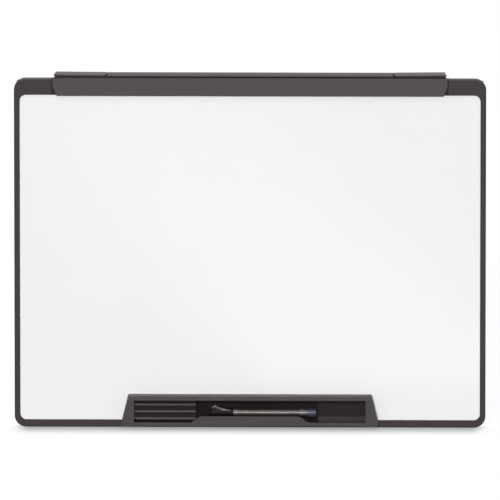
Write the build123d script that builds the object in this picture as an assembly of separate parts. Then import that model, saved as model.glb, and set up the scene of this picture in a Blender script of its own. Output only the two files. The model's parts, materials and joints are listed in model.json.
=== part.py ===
from build123d import *
import math
import os

# Cubicle whiteboard with a swing-out hanger on top and a marker tray below, in millimetres.
# X runs along the board, +Y goes back over the partition, +Z is up.
# The origin is the middle of the strip that rests on the partition's top edge.

# Board and moulded frame
board_width = 609.6
board_height = 457.2
frame_depth = 10.0
side_border = 7.35
top_border = 21.0
bottom_border = 9.7
outer_corner_radius = 15.0
inner_corner_radius = 8.0
lip_thickness = 2.0
frame_wall = 2.5
front_rounding = 1.6
opening_chamfer = 0.6

# Panel behind the frame's lip
sheet_thickness = 0.5
core_thickness = 4.4
core_inset = 0.5
back_panel_thickness = 1.2
panel_clearance = 0.4
panel_corner_radius = 12.0

# Ribs, bosses and snap tabs inside the frame
locating_rib = 2.0
locating_rib_drop = 13.5
stiffener_thickness = 1.5
stiffener_pitch = 50.0
tab_length = 14.0
tab_reach = 1.6
tab_height = 1.5
tab_gap = 0.2
side_tab_count = 4
side_tab_span = 329.0
bottom_tab_count = 6
bottom_tab_span = 512.0

# Hanger that sits on the partition
seat_depth = 18.0
partition_standoff = 2.0
plate_thickness = 2.5
plate_end_inset = 7.7
plate_front_setback = 2.5
web_thickness = 2.0
web_drop = 12.5
web_clearance = 0.1
hanger_screw_spots = (-145.0, 0.0, 145.0)
hanger_screw_drop = 8.0
hanger_screw_length = 7.0
boss_half_width = 4.0

# Raised strip on the front of the top rail
fascia_thickness = 2.0
fascia_rise = 2.2
fascia_drop = 22.0
fascia_end_inset = 51.1
fascia_end_bulge = 1.5
fascia_bulge_drop = 4.5
fascia_corner_drop = 12.6
fascia_bottom_inset = 4.3
fascia_corner_bow_inset = 2.05
fascia_chamfer = 0.5
fascia_peg_width = 9.0
fascia_peg_height = 3.0
fascia_peg_clearance = 0.1
fascia_peg_drop = 10.0
fascia_peg_pitch = 96.0
fascia_peg_count = 5

# Cover and swing-out arms on top of the hanger plate
cover_thickness = 2.2
cover_rounding = 1.6
arm_front_setback = 2.0
arm_depth = 24.3
arm_length = 69.0
arm_end_reach = 0.8
arm_end_gap = 1.0
arm_end_slant = 2.4
arm_thickness = 1.75
arm_corner_radius = 3.5
arm_rest_angle = 3.0
leg_thickness = 1.8
leg_drop = 36.0
leg_frame_gap = 1.2
leg_tip_radius = 4.0
bend_radius = 1.5
pivot_radius = 1.5
pivot_inset = 3.0
pivot_clearance = 0.05
rivet_head_radius = 2.4
rivet_head_height = 0.7
rivet_tail_radius = 2.3
rivet_seat_clearance = 0.05
washer_radius = 2.8
washer_thickness = 0.4
pad_thickness = 2.0
pad_height = 24.0
pad_margin = 1.5
pad_drop = 8.0
pad_chamfer = 0.6

# Screws
screw_radius = 1.5
screw_hole_clearance = 0.2
screw_fit_clearance = 0.03
pan_head_radius = 3.25
pan_head_height = 1.9
flush_head_radius = 3.0
flush_head_height = 1.3

# Rubber bumpers that keep the board parallel to the partition
bumper_radius = 7.5
bumper_side_inset = 30.0
bumper_bottom_inset = 28.0

# Tray
tray_reach = 20.0
tray_wall = 2.2
tray_half_length = 152.0
tray_bottom_gap = 5.2
tray_front_height = 38.2
roof_thickness = 4.7
roof_slope_radius = 9.0
roof_edge_radius = 1.5
rim_height = 4.75
floor_below_rim = 0.5
rim_chamfer = 0.8
trough_radius = 7.0
back_wall_drop = 3.7
tray_rib_pitch = 38.0
tray_rib_thickness = 1.6
tray_rib_rise = 1.0
end_top_flare = 5.6
end_bottom_flare = 15.2
end_drop = 0.9
end_corner_radius = 2.5
end_peg_size = 3.6
end_peg_length = 1.8
end_peg_clearance = 0.1
end_peg_drops = (8.0, 30.0)
end_boss_wall = 1.0
tray_screw_spots = (-125.0, 0.0, 125.0)
tray_screw_length = 7.0
tray_boss_half_width = 3.4
tray_boss_length = 8.0
tray_screw_rise = 5.2

# Raised part of the tray's front lip and the marker rest behind it
lip_rise = 8.0
lip_half_length = 64.3
lip_slope_length = 11.4
lip_curve_start = 63.0
lip_curve_end = 77.0
lip_bow = 0.34
rest_half_length = 62.0
rest_wall = 2.0
rest_edge = 0.6
rest_clearance = 0.2
groove_radius = 34.8

# Eraser
eraser_length = 79.8
eraser_depth = 13.4
eraser_front_setback = 2.6
eraser_side_gap = 0.4
eraser_floor_gap = 0.3
eraser_roof_gap = 1.1
felt_thickness = 5.0
felt_inset = 2.0
rib_count = 3
rib_depth = 5.0
rib_nose = 1.7
rib_gap = 3.9
rib_drop = 0.5
rib_end_inset = 0.4
eraser_corner_radius = 2.0
eraser_slope_clearance = 0.72

# Marker
marker_x = -52.5
marker_depth = 9.5
marker_above_lip = 3.6
cap_length = 30.9
cap_radius = 5.7
cap_wall = 1.3
cap_dome = 2.5
fin_root_radius = 4.9
fin_root_width = 3.8
fin_ridge_width = 1.7
fin_ridge = ((2.0, 5.3, 78.0), (4.6, 8.2, 77.0), (7.7, 10.2, 76.0), (10.1, 8.7, 71.0), (12.9, 7.3, 63.0),
             (16.1, 6.6, 55.0), (19.8, 6.3, 48.0), (24.0, 6.0, 43.0), (28.0, 5.5, 40.0))
barrel_length = 96.9
barrel_radius = 5.1
barrel_wall = 1.0
neck_length = 11.0
neck_clearance = 0.1
neck_lead_in = 0.4
neck_bore_step = 0.9
nib_holder_length = 7.0
nib_holder_radius = 3.0
nib_length = 7.0
nib_radius = 1.9
nib_tip_radius = 0.8
nib_tip_length = 1.6
tail_length = 10.8
tail_radius = 6.2
tail_chamfer = 0.9
tail_stub_length = 6.0
tail_clearance = 0.05
reservoir_length = 78.0
reservoir_clearance = 0.3

# Places worked out from the sizes
frame_back_y = -seat_depth / 2
plate_back_y = seat_depth / 2
partition_face_y = frame_back_y + partition_standoff
frame_front_y = frame_back_y - frame_depth
fascia_front_y = frame_front_y - fascia_thickness
lip_back_y = frame_front_y + lip_thickness
core_front_y = lip_back_y + sheet_thickness
back_panel_y = core_front_y + core_thickness
panel_rear_y = back_panel_y + back_panel_thickness
web_front_y = frame_back_y - web_thickness
opening_top_z = -top_border
opening_bottom_z = -board_height + bottom_border
panel_top_z = -locating_rib_drop - locating_rib - panel_clearance
panel_bottom_z = -board_height + frame_wall + panel_clearance
panel_half_width = board_width / 2 - frame_wall - panel_clearance
fascia_half_length = board_width / 2 - fascia_end_inset
plate_half_length = fascia_half_length - plate_end_inset
cover_half_length = fascia_half_length + arm_end_reach - arm_length - arm_end_gap
arm_front_y = frame_front_y + arm_front_setback
arm_back_y = arm_front_y + arm_depth
arm_inner_x = cover_half_length + arm_end_gap
pivot_x = arm_inner_x + pivot_inset
pivot_y = arm_back_y - pivot_inset
arm_bottom_z = plate_thickness + washer_thickness + rivet_seat_clearance
arm_top_z = arm_bottom_z + arm_thickness
tray_front_y = frame_front_y - tray_reach
tray_bottom_z = -board_height + tray_bottom_gap
tray_top_z = tray_bottom_z + tray_front_height
roof_under_z = tray_top_z - roof_thickness
rim_z = tray_bottom_z + rim_height
floor_z = rim_z - floor_below_rim
back_wall_y = frame_front_y - tray_wall
raised_lip_z = rim_z + lip_rise
lip_back_face_y = tray_front_y + tray_wall
bay_end_x = tray_half_length - tray_wall
end_peg_y = (tray_front_y + frame_front_y) / 2
tray_screw_z = -board_height + tray_screw_rise
marker_y = tray_front_y + marker_depth
marker_z = raised_lip_z + marker_above_lip
groove_bottom_z = marker_z - cap_radius - eraser_floor_gap
neck_radius = cap_radius - cap_wall - neck_clearance
barrel_x = marker_x + cap_length
tail_x = barrel_x + barrel_length
bore_radius = barrel_radius - barrel_wall
neck_bore_radius = bore_radius - neck_bore_step

# How far a cut runs past a face, and how near an edge must lie to a plane to count as on it
overshoot = 1.0
nearness = 0.01


def plane_xz(y):
    return Plane(origin=(0, y, 0), x_dir=(1, 0, 0), z_dir=(0, -1, 0))


def plane_yz(x):
    return Plane(origin=(x, 0, 0), x_dir=(0, 1, 0), z_dir=(1, 0, 0))


def prism_y(face, y_front, y_back):
    return extrude(plane_xz(y_back) * face, amount=y_back - y_front)


def prism_x(face, x_low, x_high):
    return extrude(plane_yz(x_low) * face, amount=x_high - x_low)


def prism_z(face, z_low, z_high):
    return extrude(Plane.XY.offset(z_low) * face, amount=z_high - z_low)


def block(x_low, x_high, y_low, y_high, z_low, z_high):
    middle = Pos((x_low + x_high) / 2, (y_low + y_high) / 2, (z_low + z_high) / 2)
    return middle * Box(x_high - x_low, y_high - y_low, z_high - z_low)


def rod_y(x, z, radius, y_low, y_high):
    return Pos(x, (y_low + y_high) / 2, z) * Rot(90, 0, 0) * Cylinder(radius, y_high - y_low)


def rod_z(x, y, radius, z_low, z_high):
    return Pos(x, y, (z_low + z_high) / 2) * Cylinder(radius, z_high - z_low)


def rounded_panel(half_width, z_low, z_high, radius, y_front, y_back):
    outline = RectangleRounded(2 * half_width, z_high - z_low, radius)
    return prism_y(Pos(0, (z_low + z_high) / 2) * outline, y_front, y_back)


def edges_in_plane(solid, axis, position):
    return solid.edges().filter_by_position(axis, position - nearness, position + nearness)


def spread(count, half_span):
    return [half_span * (2 * i / (count - 1) - 1) for i in range(count)]


def mirrored_x(solid):
    return mirror(solid, about=Plane.YZ)


# Moulded frame: lip, outer wall, stiffened top rail, bosses and snap tabs
def make_front_frame():
    ring = rounded_panel(board_width / 2, -board_height, 0, outer_corner_radius,
                         frame_front_y, frame_back_y)
    ring = fillet(edges_in_plane(ring, Axis.Y, frame_front_y), front_rounding)
    ring -= rounded_panel(board_width / 2 - frame_wall, -board_height + frame_wall, -frame_wall,
                          outer_corner_radius - frame_wall, lip_back_y, frame_back_y)
    ring -= rounded_panel(board_width / 2 - side_border, opening_bottom_z, opening_top_z,
                          inner_corner_radius, frame_front_y, lip_back_y)
    inner_edges = edges_in_plane(ring, Axis.Y, frame_front_y).filter_by(on_opening)
    ring = chamfer(inner_edges, opening_chamfer)
    ring += make_top_rail_ribs()
    ring += make_snap_tabs()
    ring += [block(x - boss_half_width, x + boss_half_width, lip_back_y, web_front_y,
                   -locating_rib_drop, -frame_wall) for x in hanger_screw_spots]
    ring -= [rod_y(x, -hanger_screw_drop, screw_radius + screw_fit_clearance,
                   lip_back_y, web_front_y) for x in hanger_screw_spots]
    web_slot = plate_half_length + web_clearance
    ring -= block(-web_slot, web_slot, web_front_y - web_clearance, frame_back_y,
                  -frame_wall, 0)
    ring -= fascia_pegs(fascia_peg_clearance)
    for x in tray_screw_spots:
        ring -= rod_y(x, tray_screw_z, screw_radius + screw_hole_clearance,
                      frame_front_y, lip_back_y)
        ring -= rod_y(x, tray_screw_z, flush_head_radius + screw_hole_clearance,
                      lip_back_y - flush_head_height - screw_hole_clearance, lip_back_y)
    return ring


def on_opening(edge):
    middle = edge.center(CenterOf.BOUNDING_BOX)
    box = edge.bounding_box()
    inside_x = max(abs(box.min.X), abs(box.max.X)) < board_width / 2 - side_border + nearness
    return inside_x and opening_bottom_z - nearness < middle.Z < opening_top_z + nearness


def make_top_rail_ribs():
    half = board_width / 2 - frame_wall
    rib = block(-half, half, lip_back_y, back_panel_y,
                -locating_rib_drop - locating_rib, -locating_rib_drop)
    count = int(half // stiffener_pitch)
    walls = [block(i * stiffener_pitch - stiffener_thickness / 2,
                   i * stiffener_pitch + stiffener_thickness / 2,
                   lip_back_y, web_front_y - web_clearance, -locating_rib_drop, -frame_wall)
             for i in range(-count, count + 1)]
    return [rib] + walls


def make_snap_tabs():
    y_low = panel_rear_y + tab_gap
    y_high = y_low + tab_height
    wall_x = board_width / 2 - frame_wall
    tabs = []
    for z in spread(side_tab_count, side_tab_span / 2):
        middle_z = -board_height / 2 + z
        for side in (-1, 1):
            x_near = side * (wall_x - tab_reach)
            x_far = side * (wall_x + frame_wall / 2)
            tabs.append(block(min(x_near, x_far), max(x_near, x_far), y_low, y_high,
                              middle_z - tab_length / 2, middle_z + tab_length / 2))
    floor = -board_height + frame_wall
    for x in spread(bottom_tab_count, bottom_tab_span / 2):
        tabs.append(block(x - tab_length / 2, x + tab_length / 2, y_low, y_high,
                          floor - frame_wall / 2, floor + tab_reach))
    return tabs


# Square pegs that hold the strip, and with a clearance the holes for them
def fascia_pegs(clearance=0.0):
    half_width = fascia_peg_width / 2 + clearance
    half_height = fascia_peg_height / 2 + clearance
    half_span = fascia_peg_pitch * (fascia_peg_count - 1) / 2
    return [block(x - half_width, x + half_width, frame_front_y, lip_back_y,
                  -fascia_peg_drop - half_height, -fascia_peg_drop + half_height)
            for x in spread(fascia_peg_count, half_span)]


# Writing sheet, core and back panel
def make_panel_layer(y_front, y_back, inset=0.0):
    return rounded_panel(panel_half_width - inset, panel_bottom_z + inset, panel_top_z - inset,
                         panel_corner_radius - inset, y_front, y_back)


# Strip across the front of the top rail, with bowed ends
def make_fascia():
    top = fascia_rise
    bottom = -fascia_drop
    side = fascia_half_length
    low_side = side - fascia_bottom_inset
    corner_x = side - fascia_corner_bow_inset
    corner_z = (bottom - fascia_corner_drop) / 2
    outline = Line((-low_side, bottom), (low_side, bottom))
    outline += ThreePointArc((low_side, bottom), (corner_x, corner_z), (side, -fascia_corner_drop))
    outline += ThreePointArc((side, -fascia_corner_drop), (side + fascia_end_bulge, -fascia_bulge_drop),
                             (side, top))
    outline += Line((side, top), (-side, top))
    outline += ThreePointArc((-side, top), (-side - fascia_end_bulge, -fascia_bulge_drop),
                             (-side, -fascia_corner_drop))
    outline += ThreePointArc((-side, -fascia_corner_drop), (-corner_x, corner_z), (-low_side, bottom))
    bar = prism_y(make_face(outline), fascia_front_y, frame_front_y)
    bar = chamfer(edges_in_plane(bar, Axis.Y, fascia_front_y), fascia_chamfer)
    return bar + fascia_pegs()


# Plate that rests on the partition, with a web screwed to the frame
def make_hanger_plate():
    plate = block(-plate_half_length, plate_half_length, frame_front_y + plate_front_setback,
                  plate_back_y, 0, plate_thickness)
    plate += block(-plate_half_length, plate_half_length, web_front_y, frame_back_y, -web_drop, 0)
    plate -= [rod_y(x, -hanger_screw_drop, screw_radius + screw_hole_clearance,
                    web_front_y, frame_back_y) for x in hanger_screw_spots]
    for side in (-1, 1):
        x = side * pivot_x
        plate -= rod_z(x, pivot_y, pivot_radius + rivet_seat_clearance, 0, plate_thickness)
        plate -= rod_z(x, pivot_y, rivet_tail_radius + rivet_seat_clearance,
                       0, rivet_head_height + rivet_seat_clearance)
    return plate


def make_hanger_cover():
    cover = block(-cover_half_length, cover_half_length, arm_front_y, arm_back_y,
                  plate_thickness, plate_thickness + cover_thickness)
    top_edges = edges_in_plane(cover, Axis.Z, plate_thickness + cover_thickness)
    return fillet(top_edges, cover_rounding)


def make_screws(spots, z, head_y, length, head_radius, head_height):
    shafts = [rod_y(x, z, screw_radius, head_y - length, head_y) for x in spots]
    heads = [rod_y(x, z, head_radius, head_y, head_y + head_height) for x in spots]
    return Compound(children=[shaft + head for shaft, head in zip(shafts, heads)])


# Rivets and washers of the two arms
def make_rivet(side):
    x = side * pivot_x
    top = arm_top_z - rivet_seat_clearance
    rivet = rod_z(x, pivot_y, pivot_radius, rivet_seat_clearance, top)
    rivet += rod_z(x, pivot_y, rivet_head_radius, top - rivet_head_height, top)
    rivet += rod_z(x, pivot_y, rivet_tail_radius, rivet_seat_clearance,
                   rivet_head_height)
    return rivet


def make_washer(side):
    x = side * pivot_x
    ring = rod_z(x, pivot_y, washer_radius, plate_thickness, plate_thickness + washer_thickness)
    return ring - rod_z(x, pivot_y, pivot_radius + rivet_seat_clearance, plate_thickness,
                        plate_thickness + washer_thickness)


# Right arm at its closed place: flat arm, bent leg at its outer end, round inner back corner
def make_closed_arm():
    outer_x = arm_inner_x + arm_length
    leg_front_y = frame_back_y + leg_frame_gap
    leg_outer_x = outer_x - arm_end_slant
    outline = Polyline((pivot_x, arm_back_y), (leg_outer_x, arm_back_y), (leg_outer_x, leg_front_y),
                       (outer_x, arm_front_y), (arm_inner_x, arm_front_y), (arm_inner_x, pivot_y))
    outline += ThreePointArc((arm_inner_x, pivot_y),
                             (pivot_x - pivot_inset * math.sqrt(0.5),
                              pivot_y + pivot_inset * math.sqrt(0.5)),
                             (pivot_x, arm_back_y))
    arm = prism_z(make_face(outline), arm_bottom_z, arm_top_z)
    front_corners = edges_in_plane(arm, Axis.Y, arm_front_y).filter_by(Axis.Z)
    arm = fillet(front_corners.sort_by(Axis.X)[:1], arm_corner_radius)
    leg = block(leg_outer_x - leg_thickness, leg_outer_x, leg_front_y, arm_back_y,
                -leg_drop, arm_top_z)
    arm += fillet(edges_in_plane(leg, Axis.Z, -leg_drop).filter_by(Axis.X), leg_tip_radius)
    bend = edges_in_plane(arm, Axis.X, leg_outer_x) & edges_in_plane(arm, Axis.Z, arm_top_z)
    arm = fillet(bend, bend_radius)
    arm -= rod_z(pivot_x, pivot_y, pivot_radius + pivot_clearance, arm_bottom_z, arm_top_z)
    head_seat_z = arm_top_z - rivet_head_height - 2 * rivet_seat_clearance
    arm -= rod_z(pivot_x, pivot_y, rivet_head_radius + 2 * pivot_clearance, head_seat_z, arm_top_z)
    return arm


# Rubber pad on the inner face of the leg
def make_closed_pad():
    inner_face_x = arm_inner_x + arm_length - arm_end_slant - leg_thickness
    y_low = frame_back_y + leg_frame_gap + pad_margin
    y_high = arm_back_y - pad_margin
    pad = block(inner_face_x - pad_thickness, inner_face_x, y_low, y_high,
                -pad_drop - pad_height, -pad_drop)
    return chamfer(edges_in_plane(pad, Axis.X, inner_face_x - pad_thickness), pad_chamfer)


def swung(solid, side):
    hinge_line = Axis((pivot_x, pivot_y, 0), (0, 0, 1))
    opened = solid.rotate(hinge_line, arm_rest_angle)
    return opened if side > 0 else mirrored_x(opened)


def make_bumper(side):
    x = side * (board_width / 2 - bumper_side_inset)
    z = -board_height + bumper_bottom_inset
    return rod_y(x, z, bumper_radius, panel_rear_y, partition_face_y)


# Tray section, seen from the end: roof, back wall, trough and front rim
def make_trough_face():
    curve_y = back_wall_y - trough_radius
    curve_z = floor_z + trough_radius
    bend = trough_radius * math.sqrt(0.5)
    space = Polyline((tray_front_y - overshoot, rim_z), (lip_back_face_y - rim_chamfer, rim_z),
                     (lip_back_face_y, floor_z), (curve_y, floor_z))
    space += ThreePointArc((curve_y, floor_z), (curve_y + bend, curve_z - bend), (back_wall_y, curve_z))
    space += Polyline((back_wall_y, curve_z), (back_wall_y, roof_under_z),
                      (tray_front_y - overshoot, roof_under_z), (tray_front_y - overshoot, rim_z))
    return make_face(space)


def make_underside_face():
    curve_y = back_wall_y - trough_radius
    curve_z = floor_z + trough_radius
    outer_radius = trough_radius + tray_wall
    low_z = tray_bottom_z - back_wall_drop - overshoot
    space = Polyline((lip_back_face_y, low_z), (lip_back_face_y, floor_z - tray_wall),
                     (curve_y, floor_z - tray_wall))
    join_y = back_wall_y - nearness
    join_z = curve_z - math.sqrt(outer_radius ** 2 - (join_y - curve_y) ** 2)
    middle_y = (curve_y + join_y) / 2
    middle_z = curve_z - math.sqrt(outer_radius ** 2 - (middle_y - curve_y) ** 2)
    space += ThreePointArc((curve_y, floor_z - tray_wall), (middle_y, middle_z), (join_y, join_z))
    space += Polyline((join_y, join_z), (join_y, low_z), (lip_back_face_y, low_z))
    return make_face(space)


# The roof bends down to the front edge in two arcs that meet where it slopes at 45 degrees
def tray_outline(bottom_z, back_bottom_z):
    def on_arc(centre, radius, angle):
        return centre[0] - radius * math.sin(angle), centre[1] + radius * math.cos(angle)

    turn = math.radians(45)
    narrowing = roof_slope_radius - roof_edge_radius
    edge_y = tray_front_y + roof_edge_radius
    slope_centre = (edge_y + narrowing * math.sin(turn), tray_top_z - roof_slope_radius)
    edge_centre = (edge_y, slope_centre[1] + narrowing * math.cos(turn))
    slope_start = on_arc(slope_centre, roof_slope_radius, 0)
    slope_end = on_arc(slope_centre, roof_slope_radius, turn)
    outline = Polyline((tray_front_y, bottom_z), (frame_front_y, back_bottom_z),
                       (frame_front_y, roof_under_z), (lip_back_y, roof_under_z),
                       (lip_back_y, tray_top_z), slope_start)
    outline += ThreePointArc(slope_start, on_arc(slope_centre, roof_slope_radius, turn / 2), slope_end)
    outline += ThreePointArc(slope_end, on_arc(edge_centre, roof_edge_radius, 1.5 * turn),
                             on_arc(edge_centre, roof_edge_radius, 2 * turn))
    outline += Line((tray_front_y, edge_centre[1]), (tray_front_y, bottom_z))
    return make_face(outline)


# Raised middle of the front lip: a straight slope on the left, an S made of two arcs on the right
def raised_lip_face():
    left_low = -lip_half_length - lip_slope_length
    base_z = floor_z - tray_wall
    middle_z = (rim_z + raised_lip_z) / 2
    middle_x = (lip_curve_start + lip_curve_end) / 2
    outline = Polyline((left_low, base_z), (left_low, rim_z), (-lip_half_length, raised_lip_z),
                       (lip_curve_start, raised_lip_z))
    outline += ThreePointArc((lip_curve_start, raised_lip_z),
                             ((lip_curve_start + middle_x) / 2 + lip_bow,
                              (raised_lip_z + middle_z) / 2 + lip_bow), (middle_x, middle_z))
    outline += ThreePointArc((middle_x, middle_z),
                             ((middle_x + lip_curve_end) / 2 - lip_bow,
                              (middle_z + rim_z) / 2 - lip_bow), (lip_curve_end, rim_z))
    outline += Polyline((lip_curve_end, rim_z), (lip_curve_end, base_z), (left_low, base_z))
    return make_face(outline)


def make_tray_body():
    outer = tray_outline(tray_bottom_z, tray_bottom_z - back_wall_drop)
    body = prism_x(outer, -tray_half_length, tray_half_length)
    body -= prism_x(make_trough_face(), -bay_end_x, bay_end_x)
    body -= prism_x(make_underside_face(), -bay_end_x, bay_end_x)
    body += prism_y(raised_lip_face(), tray_front_y, lip_back_face_y)
    body += make_tray_ribs()
    boss_back = frame_front_y - tray_boss_length
    body += [block(x - tray_boss_half_width, x + tray_boss_half_width, boss_back, frame_front_y,
                   tray_screw_z - tray_boss_half_width, tray_screw_z + tray_boss_half_width)
             for x in tray_screw_spots]
    body -= [rod_y(x, tray_screw_z, screw_radius + screw_fit_clearance, boss_back, frame_front_y)
             for x in tray_screw_spots]
    for side in (-1, 1):
        body -= end_pegs(side, end_peg_size + 2 * end_peg_clearance)
    return body


def make_tray_ribs():
    count = int(bay_end_x // tray_rib_pitch)
    ribs = []
    for i in range(-count, count + 1):
        x = i * tray_rib_pitch
        ribs.append(prism_x(make_underside_rib(), x - tray_rib_thickness / 2, x + tray_rib_thickness / 2))
    return ribs


def make_underside_rib():
    top = floor_z - tray_wall / 2
    low = tray_bottom_z + tray_rib_rise
    return make_face(Polyline((lip_back_face_y, low), (back_wall_y, low),
                              (back_wall_y, top), (lip_back_face_y, top), close=True))


# Square pegs between the tray and its ends
def end_pegs(side, size):
    middle_x = side * (tray_half_length - end_peg_length / 2)
    return [Pos(middle_x, end_peg_y, tray_top_z - drop) * Box(end_peg_length, size, size)
            for drop in end_peg_drops]


# End cap of the tray: a hollow wedge that widens downward and hangs a little lower
def make_tray_end(side):
    low_z = tray_bottom_z - end_drop
    inner = tray_half_length
    top_x = inner + end_top_flare
    bottom_x = inner + end_bottom_flare
    face = make_face(Polyline((inner, low_z), (bottom_x, low_z), (top_x, tray_top_z),
                              (inner, tray_top_z), close=True))
    outer_corners = face.vertices().filter_by_position(Axis.X, top_x - nearness, bottom_x + nearness)
    face = fillet(outer_corners, end_corner_radius)
    wedge = prism_y(face, tray_front_y, lip_back_y)
    section = tray_outline(low_z, low_z - back_wall_drop + end_drop)
    wedge = wedge & prism_x(section, inner, bottom_x)
    slope = (bottom_x - top_x) / (tray_top_z - low_z)
    hollow_top = roof_under_z
    hollow_low = low_z + tray_wall
    hollow_face = make_face(Polyline((inner, hollow_low),
                                     (bottom_x - tray_wall - slope * tray_wall, hollow_low),
                                     (top_x - tray_wall + slope * tray_wall, hollow_top),
                                     (inner, hollow_top), close=True))
    wedge -= prism_y(hollow_face, tray_front_y + tray_wall, back_wall_y)
    boss_size = end_peg_size + 2 * end_boss_wall
    for drop in end_peg_drops:
        reach = end_top_flare + slope * drop - tray_wall / 2
        wedge += Pos(inner + reach / 2, end_peg_y, tray_top_z - drop) * Box(reach, boss_size, boss_size)
    wedge += end_pegs(1, end_peg_size)
    return wedge if side > 0 else mirrored_x(wedge)


# Saddle in the trough that carries the marker
def make_marker_rest():
    front_y = lip_back_face_y + rest_clearance
    back_y = back_wall_y - rest_clearance
    front_reach = marker_y - front_y
    back_reach = back_y - marker_y

    def groove_z(reach):
        return groove_bottom_z + groove_radius - math.sqrt(groove_radius ** 2 - reach ** 2)

    leg_back_y = back_wall_y - trough_radius
    top_back_z = groove_z(back_reach)
    outline = Polyline((front_y, floor_z), (front_y + rest_wall, floor_z),
                       (front_y + rest_wall, groove_z(front_reach) - rest_wall),
                       (leg_back_y - rest_wall, groove_bottom_z - rest_wall),
                       (leg_back_y - rest_wall, floor_z), (leg_back_y, floor_z),
                       (leg_back_y, groove_bottom_z - rest_wall),
                       (back_y, top_back_z - rest_edge), (back_y, top_back_z))
    outline += ThreePointArc((back_y, top_back_z), (marker_y, groove_bottom_z),
                             (front_y, groove_z(front_reach)))
    outline += Line((front_y, groove_z(front_reach)), (front_y, floor_z))
    return prism_x(make_face(outline), -rest_half_length, rest_half_length)


# Eraser: ribbed grip in front, felt pad behind
def eraser_outline(inset=0.0):
    left = -bay_end_x + eraser_side_gap + inset
    right = left + eraser_length - 2 * inset
    bottom = rim_z + eraser_floor_gap + inset
    top = roof_under_z - eraser_roof_gap - inset
    slope = lip_rise / lip_slope_length
    lip_left = -lip_half_length - lip_slope_length
    chamfer_top = rim_z + (right - lip_left) * slope + eraser_slope_clearance
    chamfer_run = (chamfer_top - bottom) / slope
    return make_face(Polyline((left + chamfer_run, bottom), (right - chamfer_run, bottom),
                              (right, chamfer_top), (right, top), (left, top),
                              (left, chamfer_top), close=True))


def make_eraser_body():
    crest_y = tray_front_y + eraser_front_setback
    felt_y = crest_y + eraser_depth - felt_thickness
    base_y = crest_y + rib_depth
    base = prism_y(eraser_outline(), base_y, felt_y)
    base = fillet(base.edges().filter_by(Axis.Y), eraser_corner_radius)
    left = -bay_end_x + eraser_side_gap + rib_end_inset
    right = left + eraser_length - 2 * rib_end_inset
    bottom = rim_z + eraser_floor_gap
    top = roof_under_z - eraser_roof_gap
    pitch = (top - bottom) / rib_count
    half = (pitch - rib_gap) / 2
    nose_y = crest_y + rib_nose
    grip = prism_y(eraser_outline(rib_end_inset), crest_y, felt_y)
    for i in range(rib_count):
        middle_z = bottom + pitch * (i + 0.5) - rib_drop
        rib = Polyline((nose_y, middle_z - half), (base_y, middle_z - half),
                       (base_y, middle_z + half), (nose_y, middle_z + half))
        rib += ThreePointArc((nose_y, middle_z + half), (crest_y, middle_z), (nose_y, middle_z - half))
        base += prism_x(make_face(rib), left, right) & grip
    return base


def make_eraser_felt():
    felt_y = tray_front_y + eraser_front_setback + eraser_depth - felt_thickness
    return prism_y(eraser_outline(felt_inset), felt_y, felt_y + felt_thickness)


# Marker parts, turned about the marker's own axis
def turned(points):
    face = make_face(Polyline(*points, close=True))
    placed = Plane(origin=(0, marker_y, marker_z), x_dir=(1, 0, 0), z_dir=(0, -1, 0)) * face
    return revolve(placed, Axis((0, marker_y, marker_z), (1, 0, 0)), 360)


def make_marker_cap():
    start = marker_x
    end = marker_x + cap_length
    bore = cap_radius - cap_wall
    bore_end = start + cap_wall + cap_dome
    dome_third = cap_dome / 3
    shell = turned(((start, 0), (start, cap_radius - cap_dome),
                    (start + dome_third, cap_radius - dome_third), (start + cap_dome, cap_radius),
                    (end, cap_radius), (end, bore), (bore_end, bore), (bore_end, 0)))
    return shell + make_cap_fin()


# Swept fin that stops the marker rolling: it twists from the cap's top round to its front.
# Each place on its ridge is a distance along the cap, a radius and an angle above the front.
def make_cap_fin():
    sections = []
    for along, ridge_radius, lift in fin_ridge:
        section = Plane(origin=(marker_x + along, marker_y, marker_z), x_dir=(0, 1, 0), z_dir=(1, 0, 0))
        outline = Polyline((fin_root_radius, -fin_root_width / 2), (ridge_radius, -fin_ridge_width / 2),
                           (ridge_radius, fin_ridge_width / 2), (fin_root_radius, fin_root_width / 2),
                           close=True)
        sections.append(section * Rot(0, 0, 180 - lift) * make_face(outline))
    return loft(sections, ruled=True)


def make_marker_barrel():
    neck_start = barrel_x - neck_length
    step_x = barrel_x - neck_length / 2
    return turned(((neck_start, neck_bore_radius), (neck_start, neck_radius - neck_lead_in),
                   (neck_start + neck_lead_in, neck_radius), (barrel_x, neck_radius),
                   (barrel_x, barrel_radius), (tail_x, barrel_radius), (tail_x, bore_radius),
                   (step_x, bore_radius), (step_x, neck_bore_radius)))


def make_nib_holder():
    back = barrel_x - neck_length / 2
    neck_start = barrel_x - neck_length
    front = neck_start - nib_holder_length
    inner = neck_bore_radius - tail_clearance
    return turned(((back, 0), (back, inner), (neck_start, inner), (neck_start, nib_holder_radius),
                   (front, nib_holder_radius), (front, 0)))


def make_nib():
    back = barrel_x - neck_length - nib_holder_length
    front = back - nib_length
    return turned(((back, 0), (back, nib_radius), (front + nib_tip_length, nib_radius),
                   (front, nib_tip_radius), (front, 0)))


def make_reservoir():
    start = barrel_x - neck_length / 2
    return turned(((start, 0), (start, bore_radius - reservoir_clearance),
                   (start + reservoir_length, bore_radius - reservoir_clearance),
                   (start + reservoir_length, 0)))


def make_tail_plug():
    inner = bore_radius - tail_clearance
    end = tail_x + tail_length
    stub_x = tail_x - tail_stub_length
    return turned(((stub_x, 0), (stub_x, inner), (tail_x, inner), (tail_x, tail_radius),
                   (end - tail_chamfer, tail_radius), (end, tail_radius - tail_chamfer), (end, 0)))


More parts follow.
